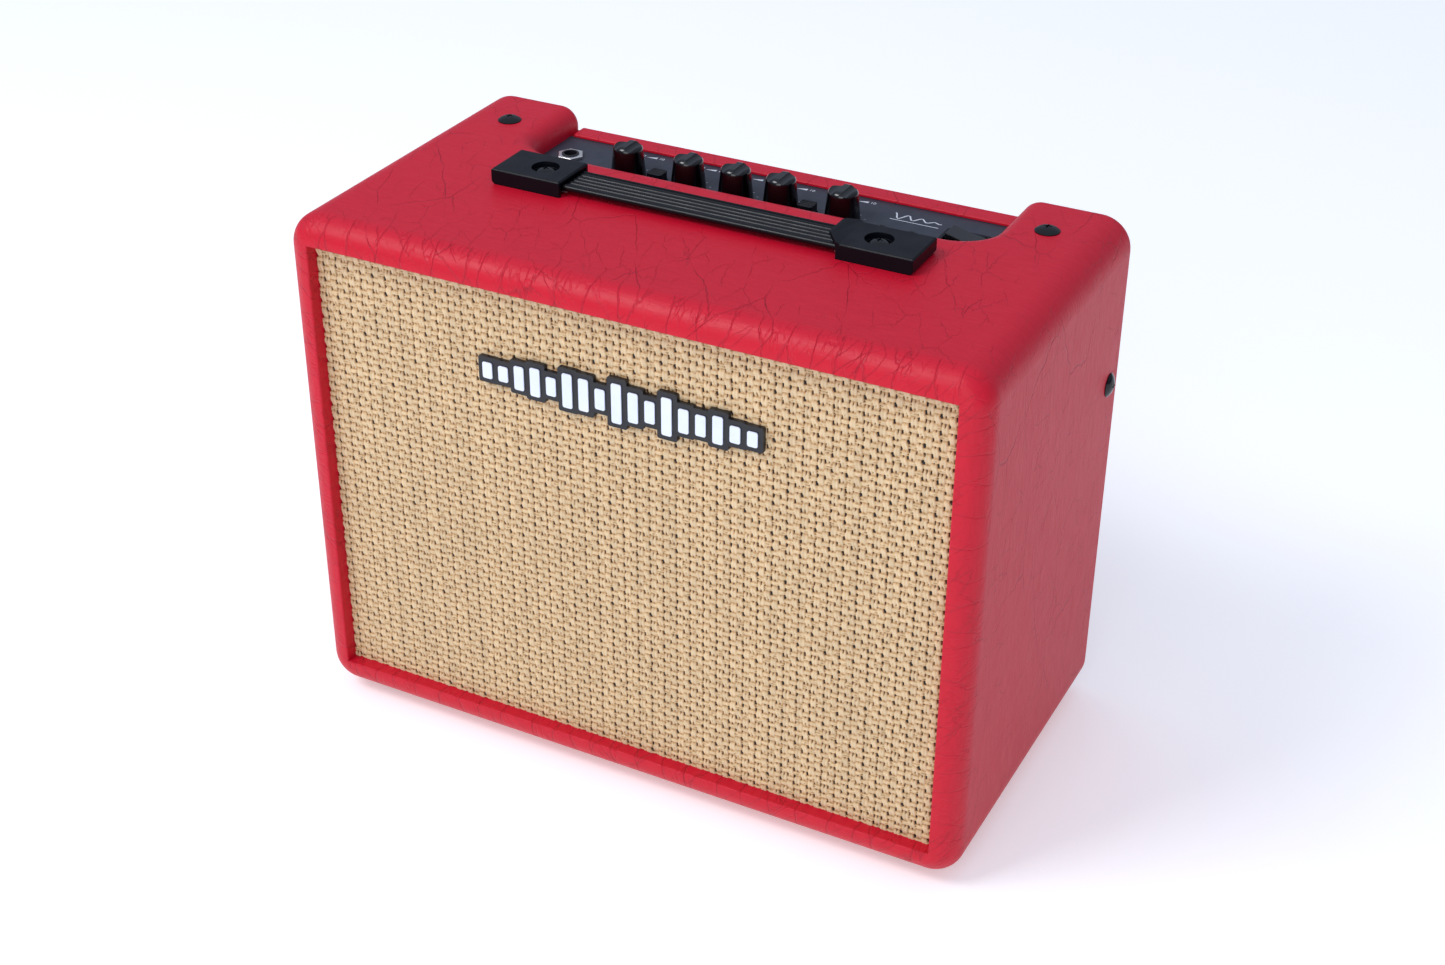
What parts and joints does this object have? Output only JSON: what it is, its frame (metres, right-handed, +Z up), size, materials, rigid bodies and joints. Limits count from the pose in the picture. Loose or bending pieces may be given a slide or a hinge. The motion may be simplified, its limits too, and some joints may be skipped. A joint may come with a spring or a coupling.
{
  "type": "guitar amplifier",
  "caption": "Small guitar practice combo: vinyl-covered cabinet, woven grille cloth, strap handle and a rear-top control recess with knobs, buttons and jacks.",
  "frame": {"origin": "on the surface it stands on, under the middle of the cabinet", "axes": "+X to the right seen from the front, +Y to the back, +Z up; the grille faces -Y"},
  "size_m": [0.3452, 0.177, 0.2698],
  "materials": {
    "covering": "embossed red vinyl",
    "board": "MDF and plywood, raw inside",
    "baffle": "black painted",
    "cloth": "woven wheat grille cloth",
    "badge": "gloss",
    "badge_white": "satin",
    "black_plastic": "satin",
    "gloss_black": "gloss",
    "black_steel": "black lacquered screws",
    "panel": "charcoal powder coat",
    "steel": "bare",
    "nickel": "nickel plated",
    "circuit": "green solder mask",
    "component": "moulded",
    "cone": "black paper",
    "surround": "matt",
    "magnet": "dark ferrite",
    "rubber": "matt",
    "wire": "insulated"
  },
  "bodies": {
    "root": {"top_board": "board", "bottom_board": "board", "left_side": "board", "right_side": "board", "baffle": "baffle", "battens": "board", "cabinet_covering": "covering", "grille_cloth": "cloth", "badge_plate": "badge", "badge_bars": "badge_white", "rear_panel": "board", "rear_covering": "covering", "side_screws": "black_steel", "rear_screws": "black_steel", "chassis_screws": "black_steel", "control_chassis": "panel", "circuit_board": "circuit", "board_standoffs": "steel", "board_components": "component", "potentiometers": "steel", "pot_nuts": "nickel", "button_switches": "component", "rocker_frame": "black_plastic", "input_jack": "component", "input_jack_nut": "nickel", "small_jacks": "component", "power_inlet": "black_plastic", "speaker_baskets": "steel", "speaker_surrounds": "surround", "speaker_magnets": "magnet", "speaker_screws": "black_steel", "speaker_terminals": "component", "speaker_leads": "wire", "power_lead": "wire", "left_handle_cap": "black_plastic", "right_handle_cap": "black_plastic", "cap_screws": "black_steel", "cap_nuts": "steel", "chassis_nuts": "steel", "strap_end_plates": "steel", "feet": "rubber", "foot_screws": "steel"},
    "gain_control": {"gain_knob": "gloss_black", "gain_shaft": "steel"},
    "volume_control": {"volume_knob": "gloss_black", "volume_shaft": "steel"},
    "bass_control": {"bass_knob": "gloss_black", "bass_shaft": "steel"},
    "treble_control": {"treble_knob": "gloss_black", "treble_shaft": "steel"},
    "delay_control": {"delay_knob": "gloss_black", "delay_shaft": "steel"},
    "channel_key": {"channel_button": "black_plastic"},
    "tap_key": {"tap_button": "black_plastic"},
    "rocker": {"power_rocker": "gloss_black"},
    "strap_left_half": {"strap_left": "rubber"},
    "strap_right_half": {"strap_right": "rubber"},
    "left_voice": {"left_cone": "cone"},
    "right_voice": {"right_cone": "cone"}
  },
  "joints": [
    {"name": "gain_turn", "type": "hinge", "parent": "root", "child": "gain_control", "pos_m": [-0.0685, 0.0485, 0.248], "axis": [0, 0, 1], "range_deg": [-150, 150]},
    {"name": "volume_turn", "type": "hinge", "parent": "root", "child": "volume_control", "pos_m": [-0.036, 0.0485, 0.248], "axis": [0, 0, 1], "range_deg": [-150, 150]},
    {"name": "bass_turn", "type": "hinge", "parent": "root", "child": "bass_control", "pos_m": [-0.011, 0.0485, 0.248], "axis": [0, 0, 1], "range_deg": [-150, 150]},
    {"name": "treble_turn", "type": "hinge", "parent": "root", "child": "treble_control", "pos_m": [0.0125, 0.0485, 0.248], "axis": [0, 0, 1], "range_deg": [-150, 150]},
    {"name": "delay_turn", "type": "hinge", "parent": "root", "child": "delay_control", "pos_m": [0.044, 0.0485, 0.248], "axis": [0, 0, 1], "range_deg": [-150, 150]},
    {"name": "channel_press", "type": "slide", "parent": "root", "child": "channel_key", "axis": [0, 0, -1], "range_m": [0, 0.0015], "stiffness_N_per_m": 600},
    {"name": "tap_press", "type": "slide", "parent": "root", "child": "tap_key", "axis": [0, 0, -1], "range_m": [0, 0.0015], "stiffness_N_per_m": 600},
    {"name": "power_toggle", "type": "hinge", "parent": "root", "child": "rocker", "pos_m": [0.102, 0.0537, 0.247], "axis": [0, -1, 0], "range_deg": [0, 24]},
    {"name": "handle_lift", "type": "hinge", "parent": "root", "child": "strap_left_half", "pos_m": [-0.0665, -0.0013, 0.262], "axis": [0, -1, 0], "range_deg": [0, 12], "stiffness_Nm_per_rad": 0.3},
    {"name": "handle_bend", "type": "hinge", "parent": "strap_left_half", "child": "strap_right_half", "pos_m": [0, -0.0013, 0.262], "axis": [0, -1, 0], "range_deg": [-24, 0]},
    {"name": "left_cone_stroke", "type": "slide", "parent": "root", "child": "left_voice", "axis": [0, -1, 0], "range_m": [-0.0015, 0.0015], "stiffness_N_per_m": 1500},
    {"name": "right_cone_stroke", "type": "slide", "parent": "root", "child": "right_voice", "axis": [0, -1, 0], "range_m": [-0.0015, 0.0015], "stiffness_N_per_m": 1500}
  ],
  "couplings": [
    {"joint": "handle_bend", "follows": "handle_lift", "ratio": -2}
  ]
}
